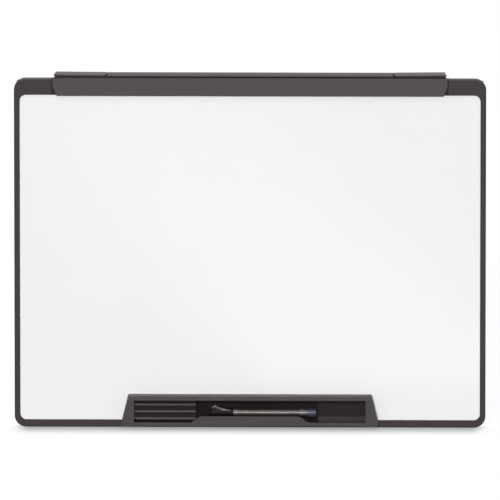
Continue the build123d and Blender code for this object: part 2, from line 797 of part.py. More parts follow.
def make_parts():
    parts = {}
    parts["front_frame"] = make_front_frame()
    parts["writing_sheet"] = make_panel_layer(lip_back_y, core_front_y)
    parts["core_board"] = make_panel_layer(core_front_y, back_panel_y, core_inset)
    parts["back_panel"] = make_panel_layer(back_panel_y, panel_rear_y)
    parts["fascia_bar"] = make_fascia()
    parts["hanger_plate"] = make_hanger_plate()
    parts["hanger_cover"] = make_hanger_cover()
    parts["hanger_screws"] = make_screws(hanger_screw_spots, -hanger_screw_drop, frame_back_y,
                                         hanger_screw_length, pan_head_radius, pan_head_height)
    parts["hinge_rivets"] = Compound(children=[make_rivet(-1), make_rivet(1)])
    parts["friction_washers"] = Compound(children=[make_washer(-1), make_washer(1)])
    for side, name in ((-1, "left"), (1, "right")):
        parts["hook_arm_" + name] = swung(make_closed_arm(), side)
        parts["hook_pad_" + name] = swung(make_closed_pad(), side)
        parts["bumper_" + name] = make_bumper(side)
        parts["tray_end_" + name] = make_tray_end(side)
    parts["tray_body"] = make_tray_body()
    parts["tray_screws"] = make_screws(tray_screw_spots, tray_screw_z,
                                       lip_back_y - flush_head_height - screw_fit_clearance,
                                       tray_screw_length, flush_head_radius, flush_head_height)
    parts["marker_rest"] = make_marker_rest()
    parts["eraser_body"] = make_eraser_body()
    parts["eraser_felt"] = make_eraser_felt()
    parts["marker_cap"] = make_marker_cap()
    parts["marker_barrel"] = make_marker_barrel()
    parts["marker_nib_holder"] = make_nib_holder()
    parts["marker_nib"] = make_nib()
    parts["marker_reservoir"] = make_reservoir()
    parts["marker_tail_plug"] = make_tail_plug()
    return parts


os.makedirs("parts", exist_ok=True)
for node, shape in make_parts().items():
    export_step(shape, "parts/" + node + ".step")
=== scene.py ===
import json
import math
import random

import bmesh
import bpy
from mathutils import Matrix, Vector


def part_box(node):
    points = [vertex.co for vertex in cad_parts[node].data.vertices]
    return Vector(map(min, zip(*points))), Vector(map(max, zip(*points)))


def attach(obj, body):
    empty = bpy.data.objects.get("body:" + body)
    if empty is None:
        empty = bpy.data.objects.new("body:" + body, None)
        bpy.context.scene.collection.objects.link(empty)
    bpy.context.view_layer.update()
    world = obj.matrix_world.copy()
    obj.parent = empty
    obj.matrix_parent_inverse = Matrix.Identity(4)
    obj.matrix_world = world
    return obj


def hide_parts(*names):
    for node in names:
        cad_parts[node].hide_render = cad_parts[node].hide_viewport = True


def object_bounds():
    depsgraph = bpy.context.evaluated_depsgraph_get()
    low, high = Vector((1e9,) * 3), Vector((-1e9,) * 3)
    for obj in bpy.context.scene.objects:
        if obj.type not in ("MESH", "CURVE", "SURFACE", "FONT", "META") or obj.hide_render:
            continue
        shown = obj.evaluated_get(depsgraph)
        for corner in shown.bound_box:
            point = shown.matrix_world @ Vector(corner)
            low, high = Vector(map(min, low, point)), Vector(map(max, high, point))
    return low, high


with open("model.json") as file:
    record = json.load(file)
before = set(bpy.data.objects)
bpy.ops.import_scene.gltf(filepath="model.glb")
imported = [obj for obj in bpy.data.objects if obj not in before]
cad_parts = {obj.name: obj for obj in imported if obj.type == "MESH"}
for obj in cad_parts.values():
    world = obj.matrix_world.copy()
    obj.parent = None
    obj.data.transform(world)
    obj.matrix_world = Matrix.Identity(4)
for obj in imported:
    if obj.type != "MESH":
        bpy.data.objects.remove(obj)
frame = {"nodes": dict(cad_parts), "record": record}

cad_low, cad_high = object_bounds()
MM = 0.001

# Camera, found from the board's known size and the photograph's proportions
photo_pixels = 500
pixels_per_mm = 0.7737
camera_azimuth = math.radians(0.75)
camera_elevation = math.radians(10.2)
camera_distance = 20.0
camera_target = Vector((0.0, -19.0, -223.86)) * MM
sensor_width = 36.0
lens_near = 1.0
lens_far = 200.0

# Lamps, which shine from these directions, and the room's own light
room_level = 0.25
overhead_level = 3.78
overhead_spread = math.radians(9.0)
overhead_tilt = math.radians(5.5)
overhead_direction = (0, math.sin(overhead_tilt), math.cos(overhead_tilt))
front_level = 2.37
front_spread = math.radians(15.0)
front_direction = (-0.07, -0.97, 0.3)
strip_level = 0.5
strip_spread = math.radians(8.0)
strip_direction = (-0.1, -0.42, 0.9)

# Floor: its own glow is weaker near the board's foot, between the foot's ends, which paints a shadow there
floor_white = 0.17
floor_glow = 0.71
foot_shadow_glow = 0.31
foot_near = 14 * MM
foot_far = 72 * MM
foot_end_near = -20 * MM
foot_end_far = -1 * MM
floor_level = -457.2 * MM
floor_reach = 9.0

# White card just above the floor in front of the board
card_glow = 2.2
card_height = floor_level + 2 * MM
card_corners = [(x * MM, y * MM, card_height)
                for x, y in ((-400, -2560), (-60, -2560), (400, -300), (20, -300))]

# Hinged arms: where the ear beyond the leg starts and ends along the board, and how far back it goes
ear_start_x = 250.0 * MM
ear_end_x = 253.6 * MM
ear_back_y = -8.5 * MM

# Black fill under the cover and arms, and the strip and block in the gap at each arm's inner end: dark
# pieces that stand in for the shade in these joints
fill_half_length = 252.3 * MM
fill_front_y = -18.9 * MM
fill_back_y = -12.4 * MM
fill_bottom_z = 0.02 * MM
fill_top_z = 2.86 * MM
fill_edge = 0.3 * MM
gap_strip_inner_x = 183.45 * MM
gap_strip_outer_x = 186.6 * MM
gap_strip_back_y = 5.3 * MM
gap_block_inner_x = 184.4 * MM
gap_block_outer_x = 185.35 * MM
gap_block_front_y = 5.6 * MM
gap_block_back_y = 8.6 * MM
gap_block_bottom_z = 2.5 * MM
gap_block_top_z = 4.5 * MM

# Painted shade inside the tray, behind its front lip and under its roof: less in the right bay, and least at
# that bay's lit foot
bay_half_length = 149.7 * MM
bay_end_run = 0.2 * MM
bay_front_y = -36.4 * MM
bay_shade_run = 5 * MM
bay_top_z = -418.6 * MM
bay_top_run = 0.3 * MM
bay_shade_share = 0.91
right_bay_x = 88 * MM
right_bay_run = 2 * MM
right_bay_less = 0.19
lit_foot_low_z = -446 * MM
lit_foot_high_z = -440.5 * MM
lit_foot_less = 0.6

# Painted shade in the eraser's grooves, on the frame beside the raised strip's ends, and along the strip's
# top edge under the cover
groove_start = 0.7 * MM
groove_full = 1.5 * MM
groove_shade_share = 0.8
strip_end_near = 0.9 * MM
strip_end_far = 1.9 * MM
strip_end_low_z = -22 * MM
strip_end_high_z = -21 * MM
strip_end_shade_share = 0.55
joint_low_z = 1.3 * MM
joint_high_z = 2.3 * MM
joint_run = 0.5 * MM
joint_top_run = 0.1 * MM
# Near-black colour of all the painted shade, and the roughness it adds
painted_shade_levels = (24, 14, 16)
painted_shade_roughness = 0.4

# Marker: its cap, and the rings and the line printed on its barrel, in millimetres along the board
cap_radius = 5.7 * MM
cap_bore_radius = 4.4 * MM
cap_end_wall = 3.8 * MM
cap_dome = 2.5 * MM
cap_mouth_bevel = 0.3 * MM
cap_bore_shares = (0.66, 0.33, 0.0)
cap_station = 0.6 * MM
cap_sides = 96
cap_sharp_angle = 50.0
printed_rings = ((-20.4, -19.6), (-18.8, -17.2), (-16.4, -15.6), (63.6, 64.4), (65.4, 70.6), (71.6, 72.4))
printed_line = (10.0, 51.5)
printed_line_height = 0.35 * MM
printed_depth = 1.8 * MM
printed_run = 0.3 * MM
print_edge = 0.12 * MM

# Cap's fin: millimetres from the closed end, millimetres from the axis, and degrees above straight ahead
fin_ridge = ((0.0, 5.3, 78.0), (2.0, 5.5, 78.0), (4.6, 8.2, 77.0), (7.7, 10.1, 76.0), (10.1, 8.7, 71.0),
             (12.9, 7.4, 63.0), (16.1, 6.7, 55.0), (19.8, 6.3, 48.0), (24.0, 6.0, 43.0), (30.9, 5.7, 40.0))
fin_spread = math.radians(24.0)
fin_rounding = 1e-9
# Width and rise of the painted highlight along the fin's crest
highlight_spread = math.radians(11.0)
highlight_rise = 0.8 * MM

# Screws at the back of the hanger
screw_head_radius = 3.25 * MM
screw_head_height = 1.9 * MM
screw_shank_radius = 1.5 * MM
screw_sides = 64
head_rim_share = 0.45
head_steps = 6
recess_reach = 1.75 * MM
recess_half_width = 0.48 * MM
recess_depth = 1.1 * MM
recess_floor_share = 0.55
recess_edge_depth = 0.08 * MM
recess_lip_share = 1.05
recess_lip = 0.1 * MM
recess_lip_depth = 0.01 * MM
recess_border = 0.15 * MM
least_slope = 1e-6

# Eraser's felt
felt_layers = 3
felt_inset = 0.35 * MM
felt_corner_radius = 2.2 * MM
felt_corner_steps = 6
felt_arc_divisor = 2.2
felt_arc_clearance = 1.5 * felt_corner_radius
felt_point_gap = 3 * MM
felt_bulge = 0.55 * MM
felt_bulge_power = 0.6
felt_rim_steps = 6
felt_face_shares = (0.06, 0.2, 0.4, 0.6, 0.8)
felt_dent = 0.12 * MM
felt_sharp_angle = 80.0
felt_outline_tolerance = 0.02 * MM
felt_seed = 7

# Softened edges, the angle in degrees above which an edge is sharp, and the distance that welds points
edge_width = 0.25 * MM
edge_angle = math.radians(40)
edge_segments = 2
edge_samples = 4
edge_flat_level = 0.02
edge_sharp_level = 0.25
sharp_angle = 35.0
weld_distance = 0.002 * MM


def screen_colour(red, green, blue):
    """A colour as it looks on a screen, 0 to 255, turned into the shader's linear values."""
    linear = []
    for level in (red, green, blue):
        share = level / 255
        linear.append(share / 12.92 if share <= 0.04045 else ((share + 0.055) / 1.055) ** 2.4)
    return (*linear, 1.0)


def shaded(colour, tone):
    return (*[min(channel * tone, 1.0) for channel in colour[:3]], 1.0)


class Channel:
    """A socket of a material; sums and products with numbers or other channels add Math nodes."""

    def __init__(self, finish, socket):
        self.finish = finish
        self.socket = socket

    def joined(self, operation, first, second=0.0):
        return self.finish.node("ShaderNodeMath", {"operation": operation}, {0: first, 1: second})

    def __abs__(self):
        return self.joined("ABSOLUTE", self)

    def __add__(self, other):
        return self.joined("ADD", self, other)

    def __radd__(self, other):
        return self.joined("ADD", other, self)

    def __sub__(self, other):
        return self.joined("SUBTRACT", self, other)

    def __rsub__(self, other):
        return self.joined("SUBTRACT", other, self)

    def __mul__(self, other):
        return self.joined("MULTIPLY", self, other)

    def __rmul__(self, other):
        return self.joined("MULTIPLY", other, self)

    def clamped(self, low, high):
        """0 below low, 1 above high, and a smooth rise between them."""
        return self.finish.node("ShaderNodeMapRange", {"interpolation_type": "SMOOTHSTEP"},
                                {"Value": self, "From Min": low, "From Max": high})


class Finish:
    """The nodes of one material, or of the room's own light."""

    def __init__(self, owner):
        if isinstance(owner, str):
            owner = bpy.data.materials.new(owner)
        self.owner = owner
        owner.use_nodes = True
        self.tree = owner.node_tree
        self.tree.nodes.clear()

    def node(self, kind, settings=None, sockets=None, out=0):
        made = self.tree.nodes.new(kind)
        for name, value in (settings or {}).items():
            setattr(made, name, value)
        for name, value in (sockets or {}).items():
            if isinstance(value, Channel):
                self.tree.links.new(value.socket, made.inputs[name])
            else:
                made.inputs[name].default_value = value
        return None if out is None else Channel(self, made.outputs[out])

    def place(self):
        return self.node("ShaderNodeTexCoord", out="Object")

    def along(self, axis):
        return self.node("ShaderNodeSeparateXYZ", {}, {"Vector": self.place()}, out=axis)

    def stretched(self, scale):
        return self.node("ShaderNodeVectorMath", {"operation": "MULTIPLY"},
                         {0: self.place(), 1: scale})

    def noise(self, size, detail=2.0, roughness=0.5, place=None):
        return self.node("ShaderNodeTexNoise", {},
                         {"Vector": place or self.place(), "Scale": 1 / size, "Detail": detail,
                          "Roughness": roughness}, out="Fac")

    def cells(self, size):
        return self.node("ShaderNodeTexVoronoi", {}, {"Vector": self.place(), "Scale": 1 / size},
                         out="Distance")

    def blend(self, factor, first, second):
        return self.node("ShaderNodeMix", {"data_type": "RGBA"},
                         {0: factor, 6: first, 7: second}, out=2)

    def toned(self, factor, colour, dark, pale):
        """The colour at its dark tone where the factor is 0, and at its pale tone where it is 1."""
        return self.blend(factor, shaded(colour, dark), shaded(colour, pale))

    def overlaid(self, base, mask, colour, share, tone):
        """The base, with a share of the colour at another tone over it where the mask is 1."""
        return self.blend(mask * share, base, shaded(colour, tone))

    def edges(self, radius):
        """1 on sharp outer and inner edges and 0 on flat faces."""
        rounded = self.node("ShaderNodeBevel", {"samples": edge_samples}, {"Radius": radius})
        true_normal = self.node("ShaderNodeNewGeometry", out="Normal")
        agreement = self.node("ShaderNodeVectorMath", {"operation": "DOT_PRODUCT"},
                              {0: rounded, 1: true_normal}, out="Value")
        return (1 - agreement).clamped(edge_flat_level, edge_sharp_level)

    def bumped(self, height, depth):
        return self.node("ShaderNodeBump", {}, {"Height": height, "Distance": depth, "Strength": 1.0})

    def seen(self):
        """1 where the camera, a reflection or clear glass looks, and 0 where light is worked out."""
        path = [self.node("ShaderNodeLightPath", out="Is " + kind + " Ray")
                for kind in ("Camera", "Glossy", "Transmission")]
        return path[0] + path[1] + path[2]

    def surface(self, **inputs):
        sockets = {name.replace("_", " "): value for name, value in inputs.items()}
        return self.node("ShaderNodeBsdfPrincipled", {}, sockets)

    def done(self, shader=None, end="ShaderNodeOutputMaterial", **inputs):
        shader = shader or self.surface(**inputs)
        self.node(end, {}, {"Surface": shader}, out=None)
        return self.owner


def bay_painted_shade(finish):
    """How much painted shade darkens the faces inside the tray."""
    inside = 1 - abs(finish.along("X")).clamped(bay_half_length, bay_half_length + bay_end_run)
    below_roof = 1 - finish.along("Z").clamped(bay_top_z - bay_top_run, bay_top_z)
    behind_lip = finish.along("Y").clamped(bay_front_y, bay_front_y + bay_shade_run)
    past_lip = finish.along("X").clamped(right_bay_x - right_bay_run, right_bay_x + right_bay_run)
    lit_foot = 1 - finish.along("Z").clamped(lit_foot_low_z, lit_foot_high_z)
    share = bay_shade_share - past_lip * (right_bay_less + lit_foot * lit_foot_less)
    return inside * below_roof * behind_lip * share


def groove_painted_shade(finish):
    """How much painted shade darkens the bottom of the eraser's grooves."""
    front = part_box("eraser_body")[0].y
    return finish.along("Y").clamped(front + groove_start, front + groove_full) * groove_shade_share


def strip_end_painted_shade(finish):
    """How much painted shade darkens the frame right beside the ends of the raised strip."""
    past_end = abs(finish.along("X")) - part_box("fascia_bar")[1].x
    beside = 1 - past_end.clamped(strip_end_near, strip_end_far)
    return beside * finish.along("Z").clamped(strip_end_low_z, strip_end_high_z) * strip_end_shade_share


def strip_joint(finish):
    """1 in the narrow joint between the raised strip and the cover above it, where the strip's top edge gets
    painted shade.
    """
    height = finish.along("Z")
    above = height.clamped(joint_low_z, joint_low_z + joint_run)
    below = 1 - height.clamped(joint_high_z, joint_high_z + joint_top_run)
    return above * below


# In each finish, a value that ends in more or less is what a mark adds to or takes from the roughness.
# Moulded plastic: spark-eroded grain, slow tone changes, paler rubbed edges and finger marks, and painted
# shade where it is given
def moulded_plastic(name, colour, roughness, shine=0.15, painted_shade=None):
    handled_less = 0.05
    grain_more = 0.06
    finish = Finish(name)
    cloud = finish.noise(size=60 * MM, detail=3.0)
    handling = finish.noise(size=14 * MM, detail=4.0, roughness=0.6)
    speckle = finish.noise(size=0.32 * MM, roughness=0.6)
    base = finish.toned(cloud, colour, dark=0.94, pale=1.06)
    base = finish.overlaid(base, speckle.clamped(0.35, 0.7), colour, share=0.25, tone=1.22)
    wear = finish.edges(0.5 * MM) * handling.clamped(0.35, 0.65)
    base = finish.overlaid(base, wear, colour, share=0.6, tone=1.35)
    gloss = roughness - handling.clamped(0.45, 0.75) * handled_less + speckle * grain_more
    # Painted shade: the colour goes to a near-black and the roughness rises where the mask is 1
    if painted_shade:
        dust_and_shade = painted_shade(finish)
        base = finish.blend(dust_and_shade, base, screen_colour(*painted_shade_levels))
        gloss = gloss + dust_and_shade * painted_shade_roughness
    normal = finish.bumped(speckle, depth=0.02 * MM)
    return finish.done(Base_Color=base, Roughness=gloss, Normal=normal, Specular_IOR_Level=shine)


def between(finish, axis, low, high):
    """1 between two places along an axis, with a thin soft edge at both."""
    place = finish.along(axis)
    past_low = place.clamped(low - print_edge, low + print_edge)
    return past_low * (1 - place.clamped(high - print_edge, high + print_edge))


def printed_marks(finish):
    """1 on the barrel's thin printed rings and on the line between them."""
    marks = between(finish, "X", printed_line[0] * MM, printed_line[1] * MM)
    middle = sum(corner.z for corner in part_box("marker_barrel")) / 2
    marks *= between(finish, "Z", middle - printed_line_height, middle + printed_line_height)
    facing = finish.along("Z").clamped(middle - printed_depth, middle - printed_depth + printed_run)
    for low, high in printed_rings:
        marks += between(finish, "X", low * MM, high * MM) * facing
    return marks


def painted_crest_highlight(finish):
    """Painted highlight: 1 along the crest of the cap's fin, from the piece's own attribute, broken up by
    noise.
    """
    crest = finish.node("ShaderNodeAttribute", {"attribute_name": "crest"}, out="Fac")
    return crest * finish.noise(size=3 * MM, detail=3.0).clamped(0.2, 0.5)


# Gloss plastic of the marker: slow waviness, fine rub marks along its length, and the marks it is given:
# print on the barrel, a painted highlight along the cap's crest
def glossy_plastic(name, colour, roughness, shine, marks=None, mark_colour=None):
    rubbed_off = 0.5
    rubbed_more = 0.1
    finish = Finish(name)
    cloud = finish.noise(size=20 * MM)
    rubs = finish.noise(size=0.6 * MM, detail=3.0, roughness=0.6, place=finish.stretched((0.12, 1.0, 1.0)))
    base = finish.toned(cloud, colour, dark=0.9, pale=1.1)
    if marks:
        worn_print_and_highlight = marks(finish) * (1 - rubs.clamped(0.58, 0.72) * rubbed_off)
        base = finish.blend(worn_print_and_highlight, base, mark_colour)
    gloss = roughness + rubs.clamped(0.5, 0.8) * rubbed_more
    normal = finish.bumped(finish.noise(size=6 * MM), depth=0.02 * MM)
    return finish.done(Base_Color=base, Roughness=gloss, Normal=normal, Specular_IOR_Level=shine)


# Dry-erase coating: hard gloss white with a trace of wiped ink dust and fine wiping marks
def dry_erase_coating():
    clean_roughness = 0.14
    wiped_more = 0.06
    finish = Finish("dry_erase_coating")
    white = screen_colour(237, 237, 237)
    dusty_white = screen_colour(236, 236, 237)
    dust_and_shade = finish.noise(size=90 * MM, detail=4.0, roughness=0.6)
    base = finish.blend(dust_and_shade.clamped(0.3, 0.8), white, dusty_white)
    wipes = finish.noise(size=2.5 * MM, detail=4.0, roughness=0.6, place=finish.stretched((0.08, 1.0, 0.5)))
    gloss = clean_roughness + wipes.clamped(0.45, 0.8) * wiped_more
    normal = finish.bumped(finish.noise(size=9 * MM), depth=0.01 * MM)
    return finish.done(Base_Color=base, Roughness=gloss, Normal=normal)


# Pressed fibre core, seen only at its edge
def fibre_core():
    smooth_roughness = 0.75
    fibre_more = 0.2
    finish = Finish("fibre_core")
    brown = screen_colour(176, 148, 116)
    fibres = finish.noise(size=0.9 * MM, detail=5.0, roughness=0.7, place=finish.stretched((0.3, 1.0, 1.0)))
    base = finish.toned(fibres, brown, dark=0.7, pale=1.25)
    return finish.done(Base_Color=base, Roughness=fibres * fibre_more + smooth_roughness,
                       Normal=finish.bumped(fibres, depth=0.08 * MM))


# Grey coated backing sheet with a light orange peel and handling scratches
def coated_back():
    clean_roughness = 0.42
    cloud_more = 0.1
    finish = Finish("coated_back")
    grey = screen_colour(186, 188, 190)
    peel = finish.noise(size=1.6 * MM)
    cloud = finish.noise(size=80 * MM, detail=4.0, roughness=0.55)
    scratches = finish.noise(size=1.2 * MM, place=finish.stretched((1.0, 1.0, 0.03)))
    base = finish.toned(cloud, grey, dark=0.93, pale=1.05)
    base = finish.overlaid(base, scratches.clamped(0.66, 0.72), grey, share=0.4, tone=1.3)
    return finish.done(Base_Color=base, Roughness=clean_roughness + cloud * cloud_more,
                       Normal=finish.bumped(peel, depth=0.02 * MM))


# Metal with a drawn or plated skin
def plated_metal(name, colour, roughness, metallic=1.0, grain=(1.0, 1.0, 1.0)):
    grain_more = 0.12
    finish = Finish(name)
    lines = finish.noise(size=0.5 * MM, detail=3.0, roughness=0.6, place=finish.stretched(grain))
    stains = finish.noise(size=18 * MM, detail=4.0, roughness=0.6)
    base = finish.toned(stains, colour, dark=0.88, pale=1.06)
    base = finish.overlaid(base, finish.edges(0.4 * MM), colour, share=0.6, tone=1.3)
    return finish.done(Base_Color=base, Roughness=roughness + lines * grain_more, Metallic=metallic,
                       Normal=finish.bumped(lines, depth=0.008 * MM))


# Powder coat: orange peel with bare metal just showing on rubbed edges
def powder_coat():
    coat_roughness = 0.62
    peel_more = 0.1
    worn_less = 0.1
    worn_metallic = 0.7
    finish = Finish("powder_coat")
    colour = screen_colour(73, 68, 70)
    bare_metal = screen_colour(130, 127, 127)
    peel = finish.noise(size=0.7 * MM, detail=3.0, roughness=0.55)
    patches = finish.noise(size=7 * MM, detail=4.0, roughness=0.6)
    wear = finish.edges(0.35 * MM) * patches.clamped(0.52, 0.68)
    base = finish.toned(finish.noise(size=40 * MM), colour, dark=0.93, pale=1.07)
    base = finish.blend(wear, base, bare_metal)
    gloss = coat_roughness + peel * peel_more - wear * worn_less
    return finish.done(Base_Color=base, Roughness=gloss, Metallic=wear * worn_metallic,
                       Normal=finish.bumped(peel, depth=0.03 * MM), Specular_IOR_Level=0.15)


# Soft black rubber with dusty bloom
def soft_rubber(name, black, dusty):
    clean_roughness = 0.78
    bloom_more = 0.15
    finish = Finish(name)
    bloom = finish.noise(size=5 * MM, detail=5.0, roughness=0.65)
    pores = finish.noise(size=0.4 * MM)
    base = finish.blend(bloom.clamped(0.45, 0.8), black, dusty)
    return finish.done(Base_Color=base, Roughness=clean_roughness + bloom * bloom_more,
                       Normal=finish.bumped(pores, depth=0.04 * MM), Specular_IOR_Level=0.15)


# Pressed felt: matted fibres, paler where the fibres stand up
def pressed_felt(name, colour, fibre_size):
    finish = Finish(name)
    mat = finish.noise(size=fibre_size, detail=6.0, roughness=0.75, place=finish.stretched((0.45, 1.0, 1.0)))
    tufts = finish.cells(size=1.4 * MM)
    base = finish.toned(mat.clamped(0.3, 0.75), colour, dark=0.55, pale=1.6)
    base = finish.overlaid(base, tufts.clamped(0.2, 0.6), colour, share=0.3, tone=0.8)
    return finish.done(Base_Color=base, Roughness=0.95, Sheen_Weight=0.35, Sheen_Roughness=0.5,
                       Normal=finish.bumped(mat, depth=0.25 * MM))


materials = {
    "frame_plastic": moulded_plastic("frame_plastic", screen_colour(57, 50, 51), roughness=0.55,
                                     painted_shade=strip_end_painted_shade),
    "fascia_plastic": moulded_plastic("fascia_plastic", screen_colour(79, 73, 75), roughness=0.62,
                                      shine=0.1, painted_shade=strip_joint),
    # A darker copy of the plastic for the cover: painted shade on its lit top
    "cover_plastic": moulded_plastic("cover_plastic", screen_colour(67, 63, 65), roughness=0.66, shine=0.1),
    "tray_plastic": moulded_plastic("tray_plastic", screen_colour(67, 61, 63), roughness=0.5,
                                    painted_shade=bay_painted_shade),
    "eraser_plastic": moulded_plastic("eraser_plastic", screen_colour(47, 41, 42), roughness=0.42,
                                      shine=0.25, painted_shade=groove_painted_shade),
    "washer_plastic": moulded_plastic("washer_plastic", screen_colour(222, 218, 208), roughness=0.4),
    "writing_surface": dry_erase_coating(),
    "core": fibre_core(),
    "back_steel": coated_back(),
    "plate_aluminium": plated_metal("dark_anodised", screen_colour(44, 42, 43), roughness=0.5,
                                    metallic=0.6, grain=(0.03, 1.0, 1.0)),
    "screw_steel": plated_metal("zinc_plated", screen_colour(196, 197, 200), roughness=0.28),
    "arm_steel": powder_coat(),
    "rubber": soft_rubber("soft_rubber", screen_colour(42, 42, 43), screen_colour(66, 65, 64)),
    "felt": pressed_felt("pressed_felt", screen_colour(74, 74, 78), fibre_size=0.5 * MM),
    "nib_fibre": pressed_felt("inked_fibre", screen_colour(44, 44, 48), fibre_size=0.2 * MM),
    # Near-black for the joint fill, which stands in for the shade in the joints
    "seal_rubber": soft_rubber("seal_rubber", screen_colour(16, 15, 15), screen_colour(24, 23, 23)),
    # The cap's pale crest colour is a painted highlight
    "cap_plastic": glossy_plastic("cap_plastic", screen_colour(26, 17, 17), roughness=0.4, shine=0.04,
                                  marks=painted_crest_highlight, mark_colour=screen_colour(168, 156, 156)),
    "barrel_plastic": glossy_plastic("barrel_plastic", screen_colour(52, 43, 42), roughness=0.33, shine=0.5,
                                     marks=printed_marks, mark_colour=screen_colour(88, 83, 82)),
    "tail_plastic": glossy_plastic("tail_plastic", screen_colour(52, 53, 62), roughness=0.36, shine=0.28),
}

# Nodes whose finish differs a little from the rest of their slot: the cover's plastic is darker, as painted
# shade that tones down its lit top
own_finish = {"hanger_cover": "cover_plastic"}


def paint(piece, look):
    piece.data.materials.clear()
    piece.data.materials.append(materials[look])


def soften(piece, width=edge_width):
    softened = piece.modifiers.new("softened_edges", "BEVEL")
    softened.width = width
    softened.segments = edge_segments
    softened.limit_method = "ANGLE"
    softened.angle_limit = edge_angle


def dress_cad_nodes():
    for part in frame["record"]["subparts"]:
        node = frame["nodes"][part["node"]]
        paint(node, own_finish.get(part["node"], part["material_slot"]))
        soften(node)


def add_piece(name, mesh, body, slot_name, replaced=(), look=None):
    piece = bpy.data.objects.new(name, mesh)
    bpy.context.scene.collection.objects.link(piece)
    paint(piece, look or slot_name)
    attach(piece, body)
    if replaced:
        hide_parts(*replaced)
    return piece


def mesh_from(name, shape):
    mesh = bpy.data.meshes.new(name)
    shape.to_mesh(mesh)
    shape.free()
    return mesh


def finished_mesh(name, shape, angle=sharp_angle):
    """The shape as a mesh that is smooth but for the edges sharper than the angle in degrees."""
    bmesh.ops.remove_doubles(shape, verts=shape.verts, dist=weld_distance)
    bmesh.ops.recalc_face_normals(shape, faces=shape.faces)
    mesh = mesh_from(name, shape)
    mesh.shade_smooth()
    mesh.set_sharp_from_angle(angle=math.radians(angle))
    return mesh


def join_rings(shape, rings):
    """Faces between each ring of points and the next."""
    for near, far in zip(rings, rings[1:]):
        count = len(near)
        for i in range(count):
            j = (i + 1) % count
            shape.faces.new((near[i], near[j], far[j], far[i]))


def join_and_close(shape, rings):
    join_rings(shape, rings)
    shape.faces.new(rings[0])
    shape.faces.new(rings[-1])


# A closed turned or star-shaped solid about the Y axis, from pairs of a radius and a depth
def add_turned(shape, centre, profile):
    rings = []
    for radius_at, depth in profile:
        ring = []
        for i in range(screw_sides):
            angle = 2 * math.pi * i / screw_sides
            radius = radius_at(angle) if callable(radius_at) else radius_at
            point = (centre[0] + radius * math.cos(angle), centre[1] + depth,
                     centre[2] + radius * math.sin(angle))
            ring.append(shape.verts.new(point))
        rings.append(ring)
    join_and_close(shape, rings)


def ridge_at(along):
    """Radius and lift of the cap's swept fin at a distance from the cap's closed end."""
    last = len(fin_ridge) - 1
    index = max(i for i in range(last) if fin_ridge[i][0] * MM <= along + fin_rounding)
    share = (along / MM - fin_ridge[index][0]) / (fin_ridge[index + 1][0] - fin_ridge[index][0])
    four = [fin_ridge[min(max(index + step, 0), last)] for step in (-1, 0, 1, 2)]
    values = []
    for column in (1, 2):
        before, start, end, after = (entry[column] for entry in four)
        curve = (2 * start + (end - before) * share
                 + (2 * before - 5 * start + 4 * end - after) * share ** 2
                 + (3 * start - before - 3 * end + after) * share ** 3) / 2
        values.append(curve)
    return values[0] * MM, math.radians(values[1])


def cap_reach(along, angle):
    """Distance from the cap's axis to its skin, with the fin as one smooth swell."""
    dome = max(1 - along / cap_dome, 0.0)
    radius = cap_radius - cap_dome * (1 - math.sqrt(1 - dome ** 2))
    ridge, lift = ridge_at(along)
    away = (angle - lift + math.pi) % (2 * math.pi) - math.pi
    return radius + max(ridge - radius, 0) * math.exp(-(away / fin_spread) ** 2) * (1 - dome ** 2)


# Marker cap: domed end, swept fin growing out of its skin, and the bore that grips the marker's neck
def make_marker_cap():
    low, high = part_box("marker_cap")
    barrel_low, barrel_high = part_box("marker_barrel")
    middle_y = (barrel_low.y + barrel_high.y) / 2
    middle_z = (barrel_low.z + barrel_high.z) / 2
    length = high.x - low.x
    bore_length = length - cap_end_wall
    count = round(length / cap_station)
    stations = [(length * i / count, None) for i in range(count + 1)]
    stations.append((length, cap_bore_radius + cap_mouth_bevel))
    stations.append((length - cap_mouth_bevel, cap_bore_radius))
    stations += [(cap_end_wall + bore_length * share, cap_bore_radius) for share in cap_bore_shares]
    shape = bmesh.new()
    rings = []
    for along, bore in stations:
        ring = []
        for i in range(cap_sides):
            angle = 2 * math.pi * i / cap_sides
            reach = bore or cap_reach(along, angle)
            ring.append(shape.verts.new((low.x + along, middle_y - reach * math.cos(angle),
                                         middle_z + reach * math.sin(angle))))
        rings.append(ring)
    join_and_close(shape, rings)
    mesh = finished_mesh("smooth_marker_cap", shape, cap_sharp_angle)
    # The crest attribute says where the cap's painted highlight lies along the fin
    crest = mesh.attributes.new("crest", "FLOAT", "POINT")
    for vert, value in zip(mesh.vertices, crest.data):
        along = min(max(vert.co.x - low.x, 0.0), length)
        ridge, lift = ridge_at(along)
        angle = math.atan2(vert.co.z - middle_z, middle_y - vert.co.y)
        stands_out = min(max((ridge - cap_radius) / highlight_rise, 0.0), 1.0)
        value.value = stands_out * math.exp(-((angle - lift) / highlight_spread) ** 2)
    add_piece("smooth_marker_cap", mesh, "cap", "cap_plastic", ["marker_cap"])


def cross_reach(angle):
    """Distance from the middle of a cross recess to its wall at an angle."""
    across = max(abs(math.cos(angle)), least_slope)
    up = max(abs(math.sin(angle)), least_slope)
    level = min(recess_reach / across, recess_half_width / up)
    upright = min(recess_reach / up, recess_half_width / across)
    return max(level, upright)


